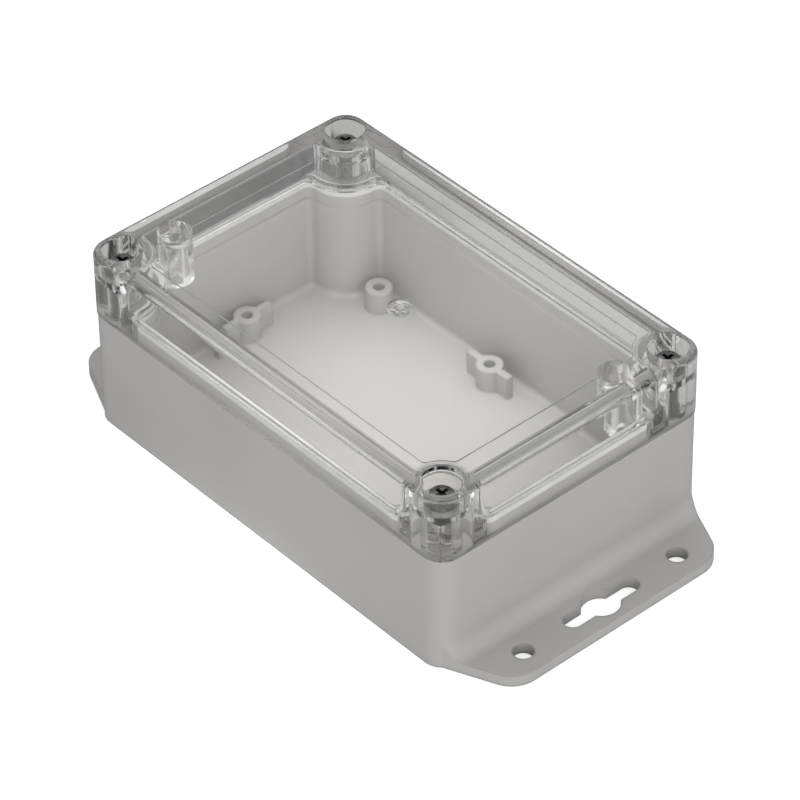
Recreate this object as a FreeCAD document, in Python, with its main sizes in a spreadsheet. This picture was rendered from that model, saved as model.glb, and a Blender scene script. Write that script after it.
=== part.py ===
import FreeCAD, Part
import math
import os
import Sketcher

# Flanged wall-mount box with a clear screw-down lid. Millimetres, +Z up.
# The origin is the centre of the underside, +X runs along the long side.

doc = FreeCAD.newDocument("clear_lid_box")

# Driving dimensions
sizes = {
    "bodyLength": 121.5,
    "bodyWidth": 80.0,
    "cornerRadius": 5.5,
    "baseHeight": 31.2,
    "lidHeight": 17.8,
    "partingStep": 0.2,
    "wall": 4.5,
    "floorThick": 4.8,
    "floorRadius": 1.4,
    # corner posts and the tongue that carries the seal
    "screwInset": 6.25,
    "postRadius": 10.0,
    "joinRadius": 1.5,
    "tongueSetback": 0.5,
    "tongueThick": 1.3,
    "tongueHeight": 3.0,
    "tongueGap": 0.25,
    "gasketThick": 1.8,
    # lid
    "lidTop": 2.5,
    "lidEdge": 1.8,
    "wallInset": 4.1,
    "ceilingRadius": 1.1,
    "seatReach": 0.6,
    "seatHeight": 1.9,
    "panelInsetX": 9.8,
    "panelInsetY": 8.15,
    "panelThick": 0.45,
    "recessRadius": 4.8,
    "recessDepth": 6.0,
    "bossRadius": 3.5,
    "bossRoof": 2.0,
    "columnRadius": 6.9,
    "columnJoin": 1.3,
    "pocketRadius": 5.7,
    "skirt": 2.5,
    "gateRadius": 2.5,
    "gateDrop": 1.0,
    "gateOffset": 3.0,
    "endBossInsetX": 8.55,
    "endBossInsetY": 20.0,
    "endBossRadius": 4.1,
    "endBossLength": 13.5,
    "endBossBore": 1.5,
    "endBossBoreDepth": 10.0,
    "endBossWeb": 3.0,
    # lid screws
    "shankRadius": 1.5,
    "shankLength": 20.0,
    "headRadius": 2.9,
    "headHeight": 2.5,
    "headBevel": 0.35,
    "driveDepth": 1.3,
    "driveWidth": 0.9,
    "driveSpan": 3.4,
    "threadGap": 0.05,
    "tipRoom": 1.4,
    "ringRadius": 2.1,
    "ringGap": 0.05,
    "sealThick": 1.4,
    "retainerThick": 1.8,
    # mounting flanges
    "flangeReach": 15.0,
    "flangeThick": 3.0,
    "flangeRoot": 77.0,
    "flangeTip": 61.7,
    "flangeCorner": 7.5,
    "flangeFillet": 4.0,
    "holeRadius": 2.5,
    "holeSpacing": 47.0,
    "holeReach": 8.75,
    "keyRadius": 4.5,
    "slotWidth": 4.8,
    "slotLength": 22.0,
    # board standoffs
    "standHeight": 6.2,
    "standRadius": 3.3,
    "standBore": 1.4,
    "standBoreDepth": 5.0,
    "finThick": 1.8,
    "finSpan": 14.0,
    "endStandX": 52.0,
    "sideStandY": 30.0,
    "cornerStandX": 39.0,
}

sheet = doc.addObject("Spreadsheet::Sheet", "Sizes")
for row, (alias, value) in enumerate(sizes.items(), start=1):
    sheet.set("A%d" % row, alias)
    sheet.set("B%d" % row, str(value))
    sheet.setAlias("B%d" % row, alias)
doc.recompute()


def size(alias):
    return float(sheet.get(alias))


def bind(thing, prop, formula):
    """Bind a property to the sheet; every alias in the formula is a cell."""
    words = []
    for word in formula.split():
        words.append("Sizes." + word if word in sizes else word)
    thing.setExpression(prop, " ".join(words))


def plane(body, role):
    return next(f for f in body.Origin.OriginFeatures if f.Role == role)


def newBody(name):
    body = doc.addObject("PartDesign::Body", name)
    body.Label = name
    return body


def newSketch(body, name, level="0", role="XY_Plane"):
    """Sketch on one of the body's own origin planes, raised to a level."""
    sketch = body.newObject("Sketcher::SketchObject", name)
    sketch.AttachmentSupport = (plane(body, role), [""])
    sketch.MapMode = "FlatFace"
    if level != "0":
        bind(sketch, "AttachmentOffset.Base.z", level)
    return sketch


def vec(x, y, z=0.0):
    return FreeCAD.Vector(x, y, z)


def addPath(sketch, corners, radii=None):
    """Closed outline through corners; a corner with a radius becomes a tangent arc."""
    count = len(corners)
    radii = radii or [0.0] * count
    trims = []
    for k, (point, radius) in enumerate(zip(corners, radii)):
        before = (corners[k - 1] - point).normalize()
        after = (corners[(k + 1) % count] - point).normalize()
        half = math.acos(before.dot(after)) / 2
        reach = radius / math.tan(half)
        trims.append((point + before * reach, point + after * reach, before, after, half))
    for k in range(count):
        start, end, before, after, half = trims[k]
        if radii[k] > 0:
            centre = corners[k] + (before + after).normalize() * (radii[k] / math.sin(half))
            middle = centre + (corners[k] - centre).normalize() * radii[k]
            arc = Part.Arc(start, middle, end)
            sketch.addGeometry(arc, False)
        sketch.addGeometry(Part.LineSegment(end, trims[(k + 1) % count][0]), False)


def addRectangle(sketch, halfX, halfY, radius=0.0, centre=None):
    centre = centre or vec(0, 0)
    corners = [centre + vec(halfX * sx, halfY * sy)
               for sx, sy in ((1, -1), (1, 1), (-1, 1), (-1, -1))]
    addPath(sketch, corners, [radius] * 4)


def addCircle(sketch, x, y, radius, formula=None):
    index = sketch.addGeometry(Part.Circle(vec(x, y), vec(0, 0, 1), radius), False)
    if formula:
        sketch.addConstraint(Sketcher.Constraint("Radius", index, radius))
        bind(sketch, "Constraints[%d]" % (sketch.ConstraintCount - 1), formula)


def addPostLoop(sketch, halfX, halfY, postRadius, joinRadius):
    """Rectangle whose corners bend inwards round the four screw posts.

    Each bend is the post's own arc, with a joining arc to the straight wall each side.
    """
    postX = size("bodyLength") / 2 - size("screwInset")
    postY = size("bodyWidth") / 2 - size("screwInset")
    reach = postRadius + joinRadius
    joinX = postX - math.sqrt(reach ** 2 - (halfY - joinRadius - postY) ** 2)
    joinY = postY - math.sqrt(reach ** 2 - (halfX - joinRadius - postX) ** 2)
    post = vec(postX, postY)
    onLong = vec(joinX, halfY - joinRadius)
    onShort = vec(halfX - joinRadius, joinY)

    def mirrored(point, sx, sy):
        return vec(point.x * sx, point.y * sy)

    def bend(sx, sy):
        """Three arcs of one corner, from the short wall to the long wall."""
        towards = (onShort - post).normalize()
        leaving = (onLong - post).normalize()
        shortArc = [onShort + vec(joinRadius, 0),
                    onShort + (vec(1, 0) - towards).normalize() * joinRadius,
                    onShort - towards * joinRadius]
        postArc = [post + towards * postRadius,
                   post + (towards + leaving).normalize() * postRadius,
                   post + leaving * postRadius]
        longArc = [onLong - leaving * joinRadius,
                   onLong + (vec(0, 1) - leaving).normalize() * joinRadius,
                   onLong + vec(0, joinRadius)]
        return [[mirrored(p, sx, sy) for p in arc] for arc in (shortArc, postArc, longArc)]

    def reverse(arcs):
        return [list(reversed(arc)) for arc in reversed(arcs)]

    corners = [bend(1, 1), reverse(bend(-1, 1)), bend(-1, -1), reverse(bend(1, -1))]
    for k, corner in enumerate(corners):
        for arc in corner:
            sketch.addGeometry(Part.Arc(*arc), False)
        nextStart = corners[(k + 1) % 4][0][0]
        sketch.addGeometry(Part.LineSegment(corner[-1][-1], nextStart), False)


def addRim(sketch, outward):
    """The cavity wall's outline, moved outwards by the given distance."""
    addPostLoop(sketch, size("bodyLength") / 2 - size("wall") + outward,
                size("bodyWidth") / 2 - size("wall") + outward,
                size("postRadius") - outward, size("joinRadius") + outward)


def pad(body, name, sketch, length):
    feature = body.newObject("PartDesign::Pad", name)
    feature.Profile = sketch
    bind(feature, "Length", length)
    return feature


def hang(body, name, sketch, length):
    """Pad that grows downwards from its sketch."""
    pad(body, name, sketch, length).Reversed = True


def pocket(body, name, sketch, length, upwards=False):
    feature = body.newObject("PartDesign::Pocket", name)
    feature.Profile = sketch
    feature.Reversed = upwards
    bind(feature, "Length", length)
    return feature


def roundEdges(body, name, radius, wanted, kind="Fillet"):
    """Fillet or chamfer on the edges of the body's tip that pass the test."""
    doc.recompute()
    base = body.Tip
    names = ["Edge%d" % (k + 1) for k, edge in enumerate(base.Shape.Edges) if wanted(edge)]
    feature = body.newObject("PartDesign::" + kind, name)
    feature.Base = (base, names)
    bind(feature, "Radius" if kind == "Fillet" else "Size", radius)
    return feature


def atLevel(edge, level):
    box = edge.BoundBox
    return abs(box.ZMin - level) < 0.01 and abs(box.ZMax - level) < 0.01


def screwPlaces():
    x = size("bodyLength") / 2 - size("screwInset")
    y = size("bodyWidth") / 2 - size("screwInset")
    return [(x, -y), (x, y), (-x, y), (-x, -y)]


def standPlaces():
    """Standoff centres, each with the direction of its fins, if it has any."""
    places = []
    for s in (1, -1):
        places.append((s * size("endStandX"), 0.0, "y"))
        places.append((0.0, s * size("sideStandY"), "x"))
        for t in (1, -1):
            places.append((s * size("cornerStandX"), t * size("sideStandY"), None))
    return places


# Base: one moulding with flanges, corner posts, tongue and standoffs
def makeBase():
    body = newBody("base")
    halfX = size("bodyLength") / 2 - size("partingStep")
    halfY = size("bodyWidth") / 2 - size("partingStep")

    sketch = newSketch(body, "baseOutline")
    addRectangle(sketch, halfX, halfY, size("cornerRadius") - size("partingStep"))
    pad(body, "baseBlock", sketch, "baseHeight")

    # flanges taper towards their rounded tips and run under the end walls
    for name, side in (("flangeRight", 1), ("flangeLeft", -1)):
        sketch = newSketch(body, name + "Outline")
        root = size("bodyLength") / 2 - size("cornerRadius")
        tip = size("bodyLength") / 2 + size("flangeReach")
        slope = (size("flangeRoot") - size("flangeTip")) / 2 / size("flangeReach")
        rootHalf = size("flangeRoot") / 2
        cornerHalf = min(rootHalf + slope * size("cornerRadius"), halfY)
        corners = [vec(root * side, -cornerHalf), vec(tip * side, -size("flangeTip") / 2),
                   vec(tip * side, size("flangeTip") / 2), vec(root * side, cornerHalf)]
        addPath(sketch, corners, [0, size("flangeCorner"), size("flangeCorner"), 0])
        pad(body, name, sketch, "flangeThick")

    # concave root where the flange runs up into the end wall
    level = size("flangeThick")

    def isRoot(edge):
        return atLevel(edge, level) and abs(abs(edge.BoundBox.XMin) - halfX) < 0.01 \
            and abs(abs(edge.BoundBox.XMax) - halfX) < 0.01

    roundEdges(body, "flangeRootFillet", "flangeFillet", isRoot)

    for name, side in (("flangeHolesRight", 1), ("flangeHolesLeft", -1)):
        sketch = newSketch(body, name + "Outline", "flangeThick")
        x = side * (size("bodyLength") / 2 + size("holeReach"))
        for s in (1, -1):
            addCircle(sketch, x, s * size("holeSpacing") / 2, size("holeRadius"), "holeRadius")
        pocket(body, name, sketch, "flangeThick")
        # double keyhole: a round middle that a screw head passes, slots both ways
        sketch = newSketch(body, name + "KeyOutline", "flangeThick")
        addKeyhole(sketch, x)
        pocket(body, name + "Key", sketch, "flangeThick")

    # cavity down to the floor, its corners bending round the posts
    sketch = newSketch(body, "cavityOutline", "baseHeight")
    addRim(sketch, 0.0)
    pocket(body, "cavity", sketch, "baseHeight - floorThick")
    floor = size("floorThick")
    roundEdges(body, "floorFillet", "floorRadius",
               lambda edge: atLevel(edge, floor) and abs(edge.BoundBox.XMax) < halfX)

    # tongue: a rib on the wall's top that carries the seal
    sketch = newSketch(body, "tongueOutline", "baseHeight")
    addRim(sketch, size("tongueSetback") + size("tongueThick"))
    addRim(sketch, size("tongueSetback"))
    pad(body, "tongue", sketch, "tongueHeight")

    # blind screw holes in the corner posts, with room below the screw tips
    sketch = newSketch(body, "postHoleOutline", "baseHeight")
    for x, y in screwPlaces():
        addCircle(sketch, x, y, size("shankRadius") + size("threadGap"),
                  "shankRadius + threadGap")
    pocket(body, "postHoles", sketch, "shankLength + recessDepth - lidHeight + tipRoom")

    # board standoffs on the floor; those at mid-wall have a fin each side
    sketch = newSketch(body, "standoffOutline", "floorThick")
    for x, y, fins in standPlaces():
        addCircle(sketch, x, y, size("standRadius"), "standRadius")
    pad(body, "standoffs", sketch, "standHeight")
    for x, y, fins in standPlaces():
        if fins:
            name = "fin%s%s" % (fins.upper(), "Plus" if x + y > 0 else "Minus")
            sketch = newSketch(body, name + "Outline", "floorThick")
            long, thin = size("finSpan") / 2, size("finThick") / 2
            spans = (long, thin) if fins == "x" else (thin, long)
            addRectangle(sketch, spans[0], spans[1], centre=vec(x, y))
            pad(body, name, sketch, "standHeight")
    sketch = newSketch(body, "standoffBoreOutline", "floorThick + standHeight")
    for x, y, fins in standPlaces():
        addCircle(sketch, x, y, size("standBore"), "standBore")
    pocket(body, "standoffBores", sketch, "standBoreDepth")
    return body


def addKeyhole(sketch, x):
    """Slot along Y with half-round ends, widened by a circle in its middle."""
    half = size("slotWidth") / 2
    key = size("keyRadius")
    straight = size("slotLength") / 2 - half
    meet = math.sqrt(key ** 2 - half ** 2)

    def at(dx, dy):
        return vec(x + dx, dy)

    edges = [Part.Arc(at(half, straight), at(0, straight + half), at(-half, straight)),
             Part.LineSegment(at(-half, straight), at(-half, meet)),
             Part.Arc(at(-half, meet), at(-key, 0), at(-half, -meet)),
             Part.LineSegment(at(-half, -meet), at(-half, -straight)),
             Part.Arc(at(-half, -straight), at(0, -straight - half), at(half, -straight)),
             Part.LineSegment(at(half, -straight), at(half, -meet)),
             Part.Arc(at(half, -meet), at(key, 0), at(half, meet)),
             Part.LineSegment(at(half, meet), at(half, straight))]
    for edge in edges:
        sketch.addGeometry(edge, False)


# Lid: clear cover with a skirt round the tongue and sunken screw recesses
def makeLid():
    body = newBody("lid")
    halfX = size("bodyLength") / 2
    halfY = size("bodyWidth") / 2
    top = size("baseHeight") + size("lidHeight")

    sketch = newSketch(body, "lidOutline", "baseHeight")
    addRectangle(sketch, halfX, halfY, size("cornerRadius"))
    pad(body, "lidBlock", sketch, "lidHeight")
    roundEdges(body, "lidTopFillet", "lidEdge", lambda edge: atLevel(edge, top))

    # wide part of the inside, which slips over the tongue
    sketch = newSketch(body, "skirtOutline", "baseHeight")
    addRim(sketch, size("tongueSetback") + size("tongueThick") + size("tongueGap"))
    pocket(body, "skirtSpace", sketch, "tongueHeight + gasketThick", upwards=True)

    # seat that presses the seal: its inner face slopes back to the upright wall
    lower = newSketch(body, "seatFootOutline", "baseHeight + tongueHeight + gasketThick")
    addRim(lower, size("wall") - size("wallInset") - size("seatReach"))
    seatTop = "baseHeight + tongueHeight + gasketThick + seatHeight"
    upper = newSketch(body, "seatTopOutline", seatTop)
    addRim(upper, size("wall") - size("wallInset"))
    feature = body.newObject("PartDesign::SubtractiveLoft", "seatSlope")
    feature.Profile = lower
    feature.Sections = [(upper, [""])]
    feature.Ruled = True

    # hollow of the lid, with a rounded edge round its ceiling
    sketch = newSketch(body, "hollowOutline", seatTop)
    addPostLoop(sketch, halfX - size("wallInset"), halfY - size("wallInset"),
                size("columnRadius"), size("columnJoin"))
    pocket(body, "hollow", sketch,
           "lidHeight - lidTop - tongueHeight - gasketThick - seatHeight", upwards=True)
    ceiling = top - size("lidTop")
    roundEdges(body, "ceilingFillet", "ceilingRadius", lambda edge: atLevel(edge, ceiling))

    # the middle of the top is a little thicker than the frame round it
    sketch = newSketch(body, "panelOutline", "baseHeight + lidHeight - lidTop")
    addPostLoop(sketch, halfX - size("panelInsetX"), halfY - size("panelInsetY"),
                size("columnRadius") + size("ceilingRadius"), size("columnJoin"))
    hang(body, "panel", sketch, "panelThick")
    addEndBosses(body)

    # screw recesses and screw holes
    sketch = newSketch(body, "recessOutline", "baseHeight + lidHeight")
    for x, y in screwPlaces():
        addCircle(sketch, x, y, size("recessRadius"), "recessRadius")
    pocket(body, "recesses", sketch, "recessDepth")
    sketch = newSketch(body, "screwHoleOutline", "baseHeight + lidHeight")
    for x, y in screwPlaces():
        addCircle(sketch, x, y, size("ringRadius") + size("ringGap"), "ringRadius + ringGap")
    pocket(body, "screwHoles", sketch, "lidHeight")

    # hollow between each screw boss and the walls round it
    sketch = newSketch(body, "cornerPocketOutline", "baseHeight")
    for x, y in screwPlaces():
        addCornerPocket(sketch, math.copysign(1, x), math.copysign(1, y))
    pocket(body, "cornerPockets", sketch, "lidHeight - recessDepth - bossRoof",
           upwards=True)

    # round mark of the moulding gate under the middle of the top
    sketch = newSketch(body, "gateOutline", "baseHeight + lidHeight - lidTop - panelThick")
    addCircle(sketch, size("gateOffset"), 0, size("gateRadius"), "gateRadius")
    hang(body, "gateMark", sketch, "gateDrop")
    return body


def addEndBosses(body):
    """Two blind bosses under the lid, one by each end wall on opposite sides of the middle."""
    ceiling = "baseHeight + lidHeight - lidTop"
    bossX = size("bodyLength") / 2 - size("endBossInsetX")
    bossY = size("bodyWidth") / 2 - size("endBossInsetY")
    places = [(bossX, bossY), (-bossX, -bossY)]
    sketch = newSketch(body, "endBossOutline", ceiling)
    for x, y in places:
        addCircle(sketch, x, y, size("endBossRadius"), "endBossRadius")
    hang(body, "endBosses", sketch, "endBossLength")

    # web from each boss to the end wall, down to the seal's seat
    sketch = newSketch(body, "endBossWebOutline", ceiling)
    reach = (size("endBossInsetX") - size("wallInset") + size("seatReach")) / 2
    for x, y in places:
        middle = math.copysign(bossX + reach, x)
        addRectangle(sketch, reach, size("endBossWeb") / 2, centre=vec(middle, y))
    hang(body, "endBossWebs", sketch,
         "lidHeight - lidTop - tongueHeight - gasketThick - seatHeight")

    sketch = newSketch(body, "endBossBoreOutline", ceiling + " - endBossLength")
    for x, y in places:
        addCircle(sketch, x, y, size("endBossBore"), "endBossBore")
    pocket(body, "endBossBores", sketch, "endBossBoreDepth", upwards=True)


def addCornerPocket(sketch, sx, sy):
    """Disc round the screw, clipped by the lid's outer walls, less the screw boss."""
    inset = size("screwInset")
    flat = inset - size("skirt")
    reach = math.sqrt(size("pocketRadius") ** 2 - flat ** 2)
    postX = size("bodyLength") / 2 - inset
    postY = size("bodyWidth") / 2 - inset

    def at(dx, dy):
        return vec(sx * (postX + dx), sy * (postY + dy))

    diagonal = size("pocketRadius") / math.sqrt(2)
    edges = [Part.LineSegment(at(flat, -reach), at(flat, flat)),
             Part.LineSegment(at(flat, flat), at(-reach, flat)),
             Part.Arc(at(-reach, flat), at(-diagonal, -diagonal), at(flat, -reach))]
    for edge in edges:
        sketch.addGeometry(edge, False)
    addCircle(sketch, sx * postX, sy * postY, size("bossRadius"), "bossRadius")


# Seal: a closed strip that lies on the tongue
def makeGasket():
    body = newBody("gasket")
    sketch = newSketch(body, "gasketOutline", "baseHeight + tongueHeight")
    addRim(sketch, size("tongueSetback") + size("tongueThick"))
    addRim(sketch, size("tongueSetback"))
    pad(body, "gasketStrip", sketch, "gasketThick")
    return body


def revolve(body, name, sketch):
    feature = body.newObject("PartDesign::Revolution", name)
    feature.Profile = sketch
    feature.ReferenceAxis = (sketch, ["V_Axis"])
    feature.Angle = 360
    return feature


def place(body, x, y, level):
    body.Placement = FreeCAD.Placement(vec(x, y, level), FreeCAD.Rotation())


def recessFloor():
    return size("baseHeight") + size("lidHeight") - size("recessDepth")


# Screw: pan head with a cross recess, its axis at the body's own origin
def makeScrew(index, x, y):
    body = newBody("screw_%d" % index)
    shank, head = size("shankRadius"), size("headRadius")
    tall, bevel = size("headHeight"), size("headBevel")
    length = size("shankLength")
    sketch = newSketch(body, body.Name + "_profile", role="XZ_Plane")
    addPath(sketch, [vec(0, -length), vec(shank - bevel, -length), vec(shank, bevel - length),
                     vec(shank, 0), vec(head, 0), vec(head, tall - bevel),
                     vec(head - bevel, tall), vec(0, tall)])
    revolve(body, body.Name + "_turned", sketch)

    sketch = newSketch(body, body.Name + "_drive", "headHeight")
    half, thin = size("driveSpan") / 2, size("driveWidth") / 2
    cross = [vec(thin, thin), vec(half, thin), vec(half, -thin), vec(thin, -thin),
             vec(thin, -half), vec(-thin, -half), vec(-thin, -thin), vec(-half, -thin),
             vec(-half, thin), vec(-thin, thin), vec(-thin, half), vec(thin, half)]
    addPath(sketch, cross)
    pocket(body, body.Name + "_recess", sketch, "driveDepth")
    place(body, x, y, recessFloor())
    return body


# Ring round a screw shank, standing on its own origin plane
def makeRing(name, x, y, level, thick):
    body = newBody(name)
    sketch = newSketch(body, name + "_outline")
    addCircle(sketch, 0, 0, size("ringRadius"), "ringRadius")
    addCircle(sketch, 0, 0, size("shankRadius") + size("threadGap"),
              "shankRadius + threadGap")
    pad(body, name + "_ring", sketch, thick)
    place(body, x, y, level)
    return body


parts = [makeBase(), makeLid(), makeGasket()]
for index, (x, y) in enumerate(screwPlaces(), start=1):
    parts.append(makeScrew(index, x, y))
    parts.append(makeRing("seal_ring_%d" % index, x, y, recessFloor() - size("sealThick"),
                          "sealThick"))
    parts.append(makeRing("retainer_%d" % index, x, y, size("baseHeight"),
                          "retainerThick"))
doc.recompute()

for thing in doc.Objects:
    if "Invalid" in thing.State or "Error" in thing.State:
        raise RuntimeError("%s failed: %s" % (thing.Name, thing.State))
for part in parts:
    shape = part.Shape
    if shape.isNull() or not shape.isValid() or len(shape.Solids) != 1:
        raise RuntimeError("%s is not one sound solid" % part.Label)

os.makedirs("parts", exist_ok=True)
for part in parts:
    part.Shape.exportStep("parts/%s.step" % part.Label)
    box = part.Shape.BoundBox
    print("%-18s volume %9.1f  %.2f..%.2f  %.2f..%.2f  %.2f..%.2f" % (
        part.Label, part.Shape.Volume, box.XMin, box.XMax, box.YMin, box.YMax,
        box.ZMin, box.ZMax))
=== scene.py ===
import math

import bpy
from mathutils import Matrix, Vector

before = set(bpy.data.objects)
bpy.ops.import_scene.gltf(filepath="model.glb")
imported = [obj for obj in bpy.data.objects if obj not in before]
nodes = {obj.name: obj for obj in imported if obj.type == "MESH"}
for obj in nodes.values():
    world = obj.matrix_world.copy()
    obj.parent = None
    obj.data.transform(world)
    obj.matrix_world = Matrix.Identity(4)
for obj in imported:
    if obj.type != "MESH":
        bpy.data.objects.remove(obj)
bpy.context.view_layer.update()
print("frame loaded:", len(nodes), "nodes")

mm = 0.001


# Shader maths: one output of a material's nodes, with ordinary arithmetic
class Wire:
    def __init__(self, tree, socket):
        self.tree = tree
        self.socket = socket

    def other(self, name):
        return Wire(self.tree, self.socket.node.outputs[name])

    def apply(self, operation, *values):
        return addNode(self.tree, "Math", {"operation": operation}, dict(enumerate(values)))

    def __add__(self, value):
        return self.apply("ADD", self, value)

    def __radd__(self, value):
        return self.apply("ADD", value, self)

    def __sub__(self, value):
        return self.apply("SUBTRACT", self, value)

    def __rsub__(self, value):
        return self.apply("SUBTRACT", value, self)

    def __mul__(self, value):
        return self.apply("MULTIPLY", self, value)

    def clamped(self):
        return addNode(self.tree, "Clamp", None, {"Value": self})

    def between(self, low, high):
        settings = {"interpolation_type": "SMOOTHSTEP"}
        values = {0: self, 1: low, 2: high, 3: 0.0, 4: 1.0}
        return addNode(self.tree, "MapRange", settings, values)


def addNode(tree, kind, settings=None, values=None, output=0):
    node = tree.nodes.new("ShaderNode" + kind)
    for name, value in (settings or {}).items():
        setattr(node, name, value)
    for name, value in (values or {}).items():
        if isinstance(value, Wire):
            tree.links.new(value.socket, node.inputs[name])
        else:
            node.inputs[name].default_value = value
    return Wire(tree, node.outputs[output])


def newTree(name):
    material = bpy.data.materials.new(name)
    material.use_nodes = True
    material.node_tree.nodes.clear()
    return material, material.node_tree


def finishTree(tree, shader, kind="Material"):
    output = tree.nodes.new("ShaderNodeOutput" + kind)
    tree.links.new(shader.socket, output.inputs["Surface"])


def mixColour(tree, factor, first, second, blend="MIX"):
    settings = {"data_type": "RGBA", "blend_type": blend}
    return addNode(tree, "Mix", settings, {0: factor, 6: first, 7: second}, output=2)


def place(tree):
    return addNode(tree, "TexCoord").other("Object")


def axes(tree):
    spot = addNode(tree, "SeparateXYZ", None, {0: place(tree)})
    return spot, spot.other("Y"), spot.other("Z")


def noise(tree, scale, detail=2.0, roughness=0.5):
    values = {"Vector": place(tree), "Scale": scale, "Detail": detail, "Roughness": roughness}
    return addNode(tree, "TexNoise", None, values)


def bump(tree, strength, depth, height, normal=None):
    values = {"Strength": strength, "Distance": depth, "Height": height}
    if normal:
        values["Normal"] = normal
    return addNode(tree, "Bump", None, values)


# Camera rays, and rays that come by way of a mirroring or clear surface
def raysOf(tree):
    rays = addNode(tree, "LightPath")
    mirrored = rays.other("Is Glossy Ray") + rays.other("Is Transmission Ray")
    return rays.other("Is Camera Ray"), mirrored.clamped()


# Moulded plastic of the base, with painted shade that darkens its inner corners
def mouldedPlastic():
    look = {
        "colour": (0.47, 0.462, 0.446, 1.0),
        "shade": (0.44, 0.432, 0.417, 1.0),
        "shadeScale": 28.0,
        "shadeRange": (0.3, 0.7),
        "roughness": 0.46,
        "grainRoughness": 0.12,
        "shadeRoughness": 0.1,
        "ior": 1.53,
        "grainScale": 2600.0,
        "grainHeight": 0.035 * mm,
        "grainStrength": 0.35,
        "edgeRadius": 1.0 * mm,
        "paintedShadeReach": 9.0 * mm,
        "paintedCornerShade": (0.76, 0.755, 0.745, 1.0),
        "paintedShadeRange": (0.15, 0.95),
    }
    material, tree = newTree("moulded_grey")
    broad = noise(tree, look["shadeScale"], 3.0)
    grain = noise(tree, look["grainScale"], 3.0, 0.6)
    colour = mixColour(tree, broad.between(*look["shadeRange"]), look["shade"], look["colour"])
    # painted shade: ambient occlusion darkens the colour in inner corners and creases
    paintedShadeMask = addNode(tree, "AmbientOcclusion", {"samples": 8, "only_local": True},
                       {"Distance": look["paintedShadeReach"]}, output="AO")
    paintedShadeColour = mixColour(tree, 1.0, colour, look["paintedCornerShade"], "MULTIPLY")
    colour = mixColour(tree, paintedShadeMask.between(*look["paintedShadeRange"]), paintedShadeColour, colour)
    rough = look["roughness"] + (grain - 0.5) * look["grainRoughness"] \
        + (broad - 0.5) * look["shadeRoughness"]
    rounded = addNode(tree, "Bevel", {"samples": 4}, {"Radius": look["edgeRadius"]})
    finishTree(tree, addNode(tree, "BsdfPrincipled", None, {
        "Base Color": colour, "Roughness": rough, "IOR": look["ior"],
        "Normal": bump(tree, look["grainStrength"], look["grainHeight"], grain, rounded)}))
    return material


# Clear polycarbonate of the lid; light for what lies under it passes straight through
def clearPlastic():
    look = {
        "tint": (0.985, 0.985, 0.98, 1.0),
        "passTint": (0.985, 0.985, 0.982, 1.0),
        "roughness": 0.02,
        "ior": 1.585,
        "waveScale": 90.0,
        "waveHeight": 0.02 * mm,
        "waveStrength": 0.15,
        "edgeRadius": 0.3 * mm,
        "paintedDarkLines": (0.40, 0.40, 0.395, 1.0),
        "edgeReach": 0.5 * mm,
        "edgeRange": (0.01, 0.10),
        "creaseX": 56.65 * mm,
        "creaseY": 35.9 * mm,
        "creaseTop": 46.5 * mm,
        "creaseSize": 1.1 * mm,
        "gateSpot": (3.0 * mm, 0.0, 45.5 * mm),
        "gateReach": 3.2 * mm,
        "gateFade": 0.6,
        "gateScale": 700.0,
        "gateHeight": 0.6 * mm,
    }
    material, tree = newTree("clear_polycarbonate")
    rounded = addNode(tree, "Bevel", {"samples": 4}, {"Radius": look["edgeRadius"]})
    waved = bump(tree, look["waveStrength"], look["waveHeight"],
                 noise(tree, look["waveScale"], 1.0), rounded)

    # gate mark: lumps in a small round patch
    away = addNode(tree, "VectorMath", {"operation": "DISTANCE"},
                   {0: place(tree), 1: look["gateSpot"]}, "Value")
    patch = away.between(look["gateReach"], look["gateReach"] * look["gateFade"])
    lumps = noise(tree, look["gateScale"], 2.0) * patch

    # painted shade: darker on fine edges, where the rounded normal leaves the flat one
    flat = addNode(tree, "NewGeometry").other("Normal")
    near = addNode(tree, "Bevel", {"samples": 6}, {"Radius": look["edgeReach"]})
    along = addNode(tree, "VectorMath", {"operation": "DOT_PRODUCT"}, {0: near, 1: flat}, "Value")
    edge = (1.0 - along).between(*look["edgeRange"])

    # painted shade: darker on the fillet between the lid's inner walls and its ceiling
    x, y, z = axes(tree)
    outward = x.apply("MAXIMUM", x.apply("ABSOLUTE", x) - look["creaseX"],
                      y.apply("ABSOLUTE", y) - look["creaseY"])
    below = look["creaseTop"] - z
    size = look["creaseSize"]
    crease = outward.between(-1.2 * size, -0.9 * size) * outward.between(0.3 * size, 0.1 * size)
    crease = crease * below.between(-0.3 * size, -0.1 * size)
    crease = crease * below.between(1.1 * size, 0.9 * size)

    # the lid's clear colour, with painted dark lines on its fine edges and its ceiling fillet
    colour = mixColour(tree, (edge + crease).clamped(), look["tint"], look["paintedDarkLines"])
    glass = addNode(tree, "BsdfPrincipled", None, {
        "Base Color": colour, "Roughness": look["roughness"], "IOR": look["ior"],
        "Transmission Weight": 1.0, "Normal": bump(tree, 1.0, look["gateHeight"], lumps, waved)})
    passing = addNode(tree, "BsdfTransparent", None, {"Color": look["passTint"]})
    rays = addNode(tree, "LightPath")
    straight = (rays.other("Is Shadow Ray") + rays.other("Is Diffuse Ray")).clamped()
    finishTree(tree, addNode(tree, "MixShader", None, {0: straight, 1: glass, 2: passing}))
    return material


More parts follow.
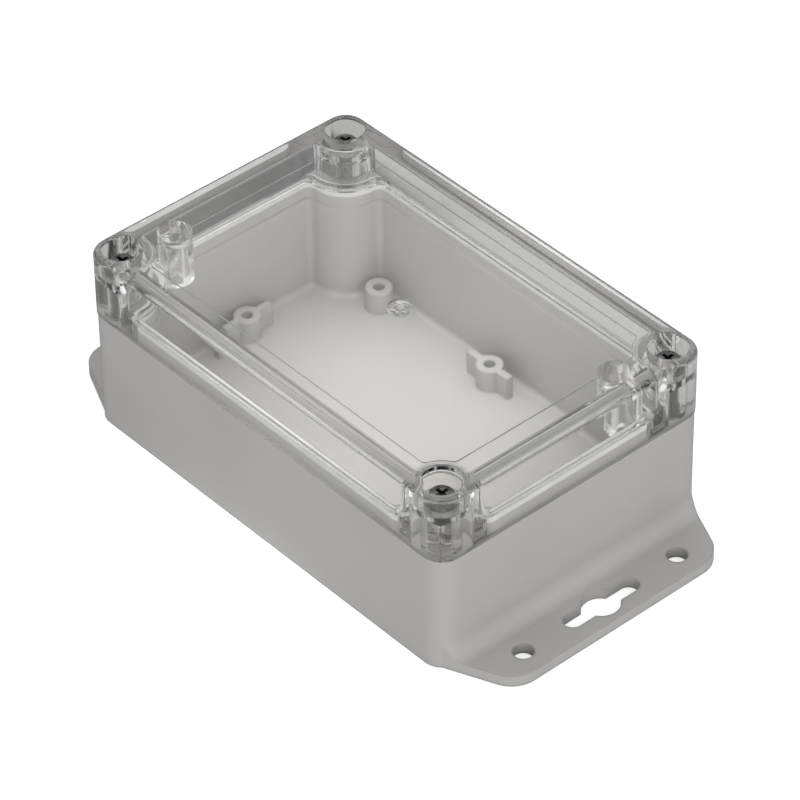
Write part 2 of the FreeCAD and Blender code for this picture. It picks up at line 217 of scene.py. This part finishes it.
def siliconeWhite():
    look = {
        "shade": (0.72, 0.715, 0.70, 1.0),
        "colour": (0.80, 0.795, 0.78, 1.0),
        "shadeScale": 140.0,
        "shadeRange": (0.35, 0.65),
        "roughness": 0.42,
        "grainRoughness": 0.15,
        "ior": 1.41,
        "grainScale": 1800.0,
        "grainHeight": 0.03 * mm,
        "grainStrength": 0.3,
    }
    material, tree = newTree("white_silicone")
    grain = noise(tree, look["grainScale"])
    broad = noise(tree, look["shadeScale"])
    colour = mixColour(tree, broad.between(*look["shadeRange"]), look["shade"], look["colour"])
    rough = look["roughness"] + (grain - 0.5) * look["grainRoughness"]
    finishTree(tree, addNode(tree, "BsdfPrincipled", None, {
        "Base Color": colour, "Roughness": rough, "IOR": look["ior"],
        "Normal": bump(tree, look["grainStrength"], look["grainHeight"], grain)}))
    return material


# Dark plated steel, with a thread on the shank
def darkSteel():
    look = {
        "shade": (0.17, 0.167, 0.163, 1.0),
        "colour": (0.30, 0.295, 0.285, 1.0),
        "blotchScale": 700.0,
        "blotchRange": (0.35, 0.7),
        "roughness": 0.22,
        "blotchRoughness": 0.14,
        "scratchScale": 5200.0,
        "scratchHeight": 0.02 * mm,
        "scratchStrength": 0.3,
        "pitch": 0.5 * mm,
        "threadTop": 42.8 * mm,
        "threadFade": 0.2 * mm,
        "threadDepth": 0.16 * mm,
        "threadStrength": 0.8,
        "paintedThreadShade": (0.035, 0.034, 0.033, 1.0),
    }
    material, tree = newTree("dark_plated_steel")
    blotch = noise(tree, look["blotchScale"], 3.0)
    colour = mixColour(tree, blotch.between(*look["blotchRange"]), look["shade"], look["colour"])
    worn = bump(tree, look["scratchStrength"], look["scratchHeight"],
                noise(tree, look["scratchScale"]))
    height = axes(tree)[2]
    shank = height.between(look["threadTop"], look["threadTop"] - look["threadFade"])
    thread = height.apply("SINE", height * (2 * math.pi / look["pitch"])) * shank
    # painted shade: the threaded shank below threadTop is coloured nearly black
    finishTree(tree, addNode(tree, "BsdfPrincipled", None, {
        "Base Color": mixColour(tree, shank, colour, look["paintedThreadShade"]), "Metallic": 1.0,
        "Roughness": look["roughness"] + blotch * look["blotchRoughness"],
        "Normal": bump(tree, look["threadStrength"], look["threadDepth"], thread, worn)}))
    return material


def blackPlastic(name, colour, roughness):
    look = {
        "lighter": 1.5,
        "grainScale": 3000.0,
        "grainRange": (0.3, 0.7),
        "grainRoughness": 0.15,
        "grainHeight": 0.02 * mm,
        "grainStrength": 0.3,
    }
    material, tree = newTree(name)
    grain = noise(tree, look["grainScale"])
    light = [c * look["lighter"] for c in colour[:3]] + [1.0]
    rough = roughness + (grain - 0.5) * look["grainRoughness"]
    finishTree(tree, addNode(tree, "BsdfPrincipled", None, {
        "Base Color": mixColour(tree, grain.between(*look["grainRange"]), colour, light),
        "Roughness": rough,
        "Normal": bump(tree, look["grainStrength"], look["grainHeight"], grain)}))
    return material


def dress(name, material):
    mesh = nodes[name].data
    mesh.materials.clear()
    mesh.materials.append(material)


dress("base", mouldedPlastic())
dress("lid", clearPlastic())
dress("gasket", siliconeWhite())
steel = darkSteel()
rubber = blackPlastic("seal_rubber", (0.012, 0.012, 0.012, 1.0), 0.55)
nylon = blackPlastic("retainer_nylon", (0.02, 0.02, 0.02, 1.0), 0.4)
for number in range(1, 5):
    dress("screw_%d" % number, steel)
    dress("seal_ring_%d" % number, rubber)
    dress("retainer_%d" % number, nylon)
print("materials set")


# Camera: fitted to the photograph's edges
def addCamera():
    view = {
        "azimuth": 48.98839,
        "elevation": 40.01724,
        "roll": -0.88443,
        "distance": 1.0528,
        "across": -1.65605 * mm,
        "up": 4.96616 * mm,
        "height": 25.0 * mm,
        "lens": 207.9533,
        "sensor": 36,
        "clip": 0.05,
    }
    a, e, r = (math.radians(view[k]) for k in ("azimuth", "elevation", "roll"))
    back = Vector((math.sin(a) * math.cos(e), -math.cos(a) * math.cos(e), math.sin(e)))
    right = Vector((math.cos(a), math.sin(a), 0))
    up = back.cross(right)
    spot = Vector((0, 0, view["height"])) + back * view["distance"] \
        - right * view["across"] - up * view["up"]
    turned = (right * math.cos(r) + up * math.sin(r), up * math.cos(r) - right * math.sin(r), back)
    data = bpy.data.cameras.new("camera")
    data.lens = view["lens"]
    data.sensor_width = view["sensor"]
    data.clip_start = view["clip"]
    camera = bpy.data.objects.new("camera", data)
    camera.matrix_world = Matrix.Translation(spot) @ Matrix(turned).transposed().to_4x4()
    bpy.context.scene.collection.objects.link(camera)
    bpy.context.scene.camera = camera


# Lamps: a soft one in front, and a narrow one from above for the inside of the box.
# Neither is mirrored, so that the lid doesn't glare
def addLamps():
    lamps = {
        "front": {"power": 8.1, "spot": (1.17, -0.68, 0.60), "target": (0, 0, 0.03),
                  "size": (1.2, 0.9)},
        "inside": {"power": 27.0, "spot": (0.10, -0.08, 0.88), "target": (-0.002, 0.001, 0.01),
                   "cone": 8.0, "softness": 0.02},
    }
    for name, look in lamps.items():
        data = bpy.data.lights.new(name, "AREA" if "size" in look else "SPOT")
        data.energy = look["power"]
        if "size" in look:
            data.shape = "RECTANGLE"
            data.size, data.size_y = look["size"]
        else:
            data.spot_size = math.radians(look["cone"])
            data.spot_blend = 1.0
            data.shadow_soft_size = look["softness"]
        lamp = bpy.data.objects.new(name, data)
        lamp.visible_glossy = False
        lamp.location = look["spot"]
        along = Vector(look["target"]) - Vector(look["spot"])
        lamp.rotation_euler = along.to_track_quat("-Z", "Y").to_euler()
        bpy.context.scene.collection.objects.link(lamp)


# Floor: white to the camera with the object's soft shadow kept. Through the clear lid it shows
# grey, with a painted shadow that darkens it towards the far left, so glass sees it in those
# shades
def addFloor():
    look = {
        "colour": (0.82, 0.82, 0.82, 1.0),
        "throughGlass": (0.66, 0.66, 0.645, 1.0),
        "paintedShadowFarLeft": (0.02, 0.02, 0.019, 1.0),
        "paintedShadowFadeX": (-0.112, -0.105, -0.085, -0.045),
        "paintedShadowFadeY": (-0.060, -0.020, 0.069, 0.077),
        "lift": 0.6,
        "glassShare": 0.04,
        "halfSize": 3.0,
        "gap": 0.2 * mm,
    }
    material, tree = newTree("studio_floor")
    camera, mirrored = raysOf(tree)
    x, y, _ = axes(tree)
    (x0, x1, x2, x3), (y0, y1, y2, y3) = look["paintedShadowFadeX"], look["paintedShadowFadeY"]
    # painted shadow: a dark patch on the floor beyond the far left end, seen only by glass
    paintedShadowMask = x.between(x0, x1) * x.between(x3, x2) * y.between(y0, y1) * y.between(y3, y2)
    shade = mixColour(tree, paintedShadowMask, look["throughGlass"], look["paintedShadowFarLeft"])
    matt = addNode(tree, "BsdfDiffuse", None, {
        "Color": mixColour(tree, mirrored, look["colour"], shade)})
    seen = (camera + mirrored * look["glassShare"]).clamped()
    glow = addNode(tree, "Emission", None, {
        "Color": (1.0, 1.0, 1.0, 1.0), "Strength": seen * look["lift"]})
    finishTree(tree, addNode(tree, "AddShader", None, {0: matt, 1: glow}))

    mesh = bpy.data.meshes.new("studio_floor")
    half = look["halfSize"]
    corners = [(-half, -half, 0), (half, -half, 0), (half, half, 0), (-half, half, 0)]
    mesh.from_pydata(corners, [], [(0, 1, 2, 3)])
    mesh.materials.append(material)
    floor = bpy.data.objects.new("studio_floor", mesh)
    floor.location.z = -look["gap"]
    bpy.context.scene.collection.objects.link(floor)


# World: a soft sky that looks white, and dim near the horizon to mirrors and glass
def addWorld():
    look = {
        "skyColour": (0.99, 0.99, 1.0, 1.0),
        "sky": 0.64,
        "mirroredShare": 0.85,
        "horizon": 0.16,
        "horizonRange": (0.45, 0.15),
    }
    world = bpy.data.worlds.new("studio")
    world.use_nodes = True
    tree = world.node_tree
    tree.nodes.clear()
    camera, mirrored = raysOf(tree)

    def background(colour, strength):
        return addNode(tree, "Background", None, {"Color": colour, "Strength": strength})

    white = (1.0, 1.0, 1.0, 1.0)
    seen = (camera + mirrored * look["mirroredShare"]).clamped()
    high = addNode(tree, "MixShader", None, {
        0: seen, 1: background(look["skyColour"], look["sky"]), 2: background(white, 1.0)})
    direction = addNode(tree, "TexCoord").other("Generated")
    upward = addNode(tree, "SeparateXYZ", None, {0: direction}).other("Z")
    low = mirrored * upward.between(*look["horizonRange"])
    finishTree(tree, addNode(tree, "MixShader", None, {
        0: low, 1: high, 2: background(white, look["horizon"])}), "World")
    bpy.context.scene.world = world


addCamera()
addFloor()
addWorld()
addLamps()

# Light that is trapped in the clear walls takes many bounces to come out
cycles = bpy.context.scene.cycles
cycles.max_bounces = 24
cycles.glossy_bounces = 16
cycles.transmission_bounces = 24
cycles.transparent_max_bounces = 16
bpy.context.scene.view_settings.view_transform = "Standard"
print("camera, floor and lamps set")
